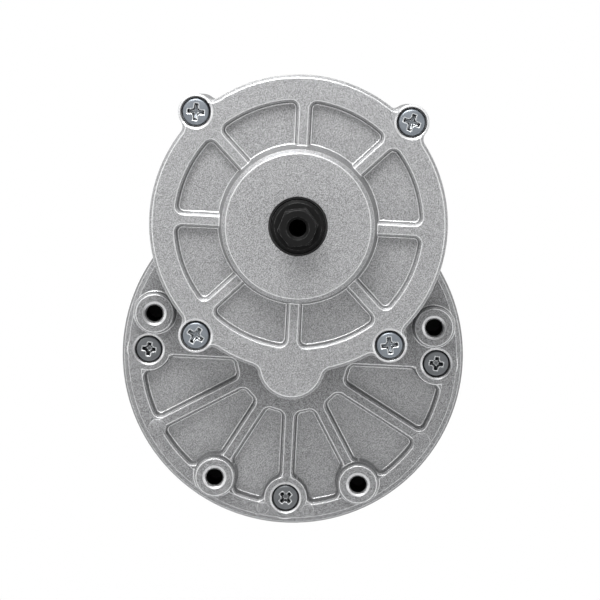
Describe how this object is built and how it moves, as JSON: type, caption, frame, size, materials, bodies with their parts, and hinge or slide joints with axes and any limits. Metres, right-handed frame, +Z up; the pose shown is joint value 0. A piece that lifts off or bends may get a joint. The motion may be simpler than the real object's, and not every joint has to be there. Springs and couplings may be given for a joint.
{
  "type": "wheelchair motor",
  "caption": "Electric gear motor with a ribbed die-cast gear case, a round mounting flange and a black output shaft ending in a hexagonal drive.",
  "frame": {"origin": "the output shaft's axis where it meets the plane of the gearbox cover's hub face", "axes": "+X to the viewer's right in the end view, +Y along both shafts from the hexagonal drive end to the motor's rear, +Z up from the motor shaft to the output shaft"},
  "size_m": [0.102, 0.1345, 0.1346],
  "materials": {
    "cast_aluminium": "die-cast, blasted, fine grain",
    "cover_aluminium": "die-cast, blasted, fine grain",
    "gasket_fibre": "compressed fibre sheet",
    "zinc_steel": "bright zinc plating, slightly blue",
    "can_paint": "satin black coat on drawn steel",
    "ferrite": "ground ceramic magnet",
    "black_rubber": "moulded rubber",
    "phenolic": "moulded phenolic",
    "brass": "pressed brass sheet",
    "carbon": "electrographite",
    "spring_steel": "bright spring steel",
    "sintered_bronze": "oiled sintered bronze",
    "black_oxide_steel": "turned steel, black oxide, satin",
    "gear_steel": "hobbed teeth, turned faces",
    "machined_steel": "ground steel",
    "lamination_steel": "stack of thin sheets",
    "copper": "enamelled and turned copper",
    "bearing_steel": "polished bearing steel"
  },
  "bodies": {
    "housing": {"gear_housing": "cast_aluminium", "gearbox_cover": "cover_aluminium", "cover_gasket": "gasket_fibre", "cover_screws": "zinc_steel", "through_screws": "zinc_steel", "motor_can": "can_paint", "field_magnets": "ferrite", "rear_end_bell": "cast_aluminium", "cable_grommet": "black_rubber", "brush_plate": "phenolic", "brush_plate_screws": "zinc_steel", "brush_holders": "brass", "carbon_brushes": "carbon", "brush_springs": "spring_steel", "bearing_wave_washer": "spring_steel", "motor_shaft_seal": "black_rubber", "pinion_end_bush": "sintered_bronze", "output_front_bearing_outer_ring": "bearing_steel", "output_rear_bearing_outer_ring": "bearing_steel", "motor_front_bearing_outer_ring": "bearing_steel", "motor_rear_bearing_outer_ring": "bearing_steel"},
    "output": {"output_shaft": "black_oxide_steel", "output_gear": "gear_steel", "gear_key": "machined_steel", "output_front_bearing_inner_ring": "bearing_steel", "output_rear_bearing_inner_ring": "bearing_steel"},
    "rotor": {"armature_shaft": "machined_steel", "armature_core": "lamination_steel", "armature_windings": "copper", "commutator_bars": "copper", "commutator_hub": "phenolic", "motor_front_bearing_inner_ring": "bearing_steel", "motor_rear_bearing_inner_ring": "bearing_steel"},
    "output_front_balls": {"output_front_bearing_ball_set": "bearing_steel"},
    "output_rear_balls": {"output_rear_bearing_ball_set": "bearing_steel"},
    "motor_front_balls": {"motor_front_bearing_ball_set": "bearing_steel"},
    "motor_rear_balls": {"motor_rear_bearing_ball_set": "bearing_steel"}
  },
  "joints": [
    {"name": "rotor_spin", "type": "hinge", "parent": "housing", "child": "rotor", "pos_m": [0, 0, -0.0408], "axis": [0, 1, 0], "continuous": true},
    {"name": "output_spin", "type": "hinge", "parent": "housing", "child": "output", "pos_m": [0, 0, 0], "axis": [0, 1, 0], "continuous": true},
    {"name": "output_front_balls_roll", "type": "hinge", "parent": "housing", "child": "output_front_balls", "pos_m": [0, 0, 0], "axis": [0, 1, 0], "continuous": true},
    {"name": "output_rear_balls_roll", "type": "hinge", "parent": "housing", "child": "output_rear_balls", "pos_m": [0, 0, 0], "axis": [0, 1, 0], "continuous": true},
    {"name": "motor_front_balls_roll", "type": "hinge", "parent": "housing", "child": "motor_front_balls", "pos_m": [0, 0, -0.0408], "axis": [0, 1, 0], "continuous": true},
    {"name": "motor_rear_balls_roll", "type": "hinge", "parent": "housing", "child": "motor_rear_balls", "pos_m": [0, 0, -0.0408], "axis": [0, 1, 0], "continuous": true}
  ],
  "couplings": [
    {"joint": "output_spin", "follows": "rotor_spin", "ratio": -0.1087},
    {"joint": "output_front_balls_roll", "follows": "rotor_spin", "ratio": -0.041413},
    {"joint": "output_rear_balls_roll", "follows": "rotor_spin", "ratio": -0.043339},
    {"joint": "motor_front_balls_roll", "follows": "rotor_spin", "ratio": 0.381},
    {"joint": "motor_rear_balls_roll", "follows": "rotor_spin", "ratio": 0.36778}
  ]
}
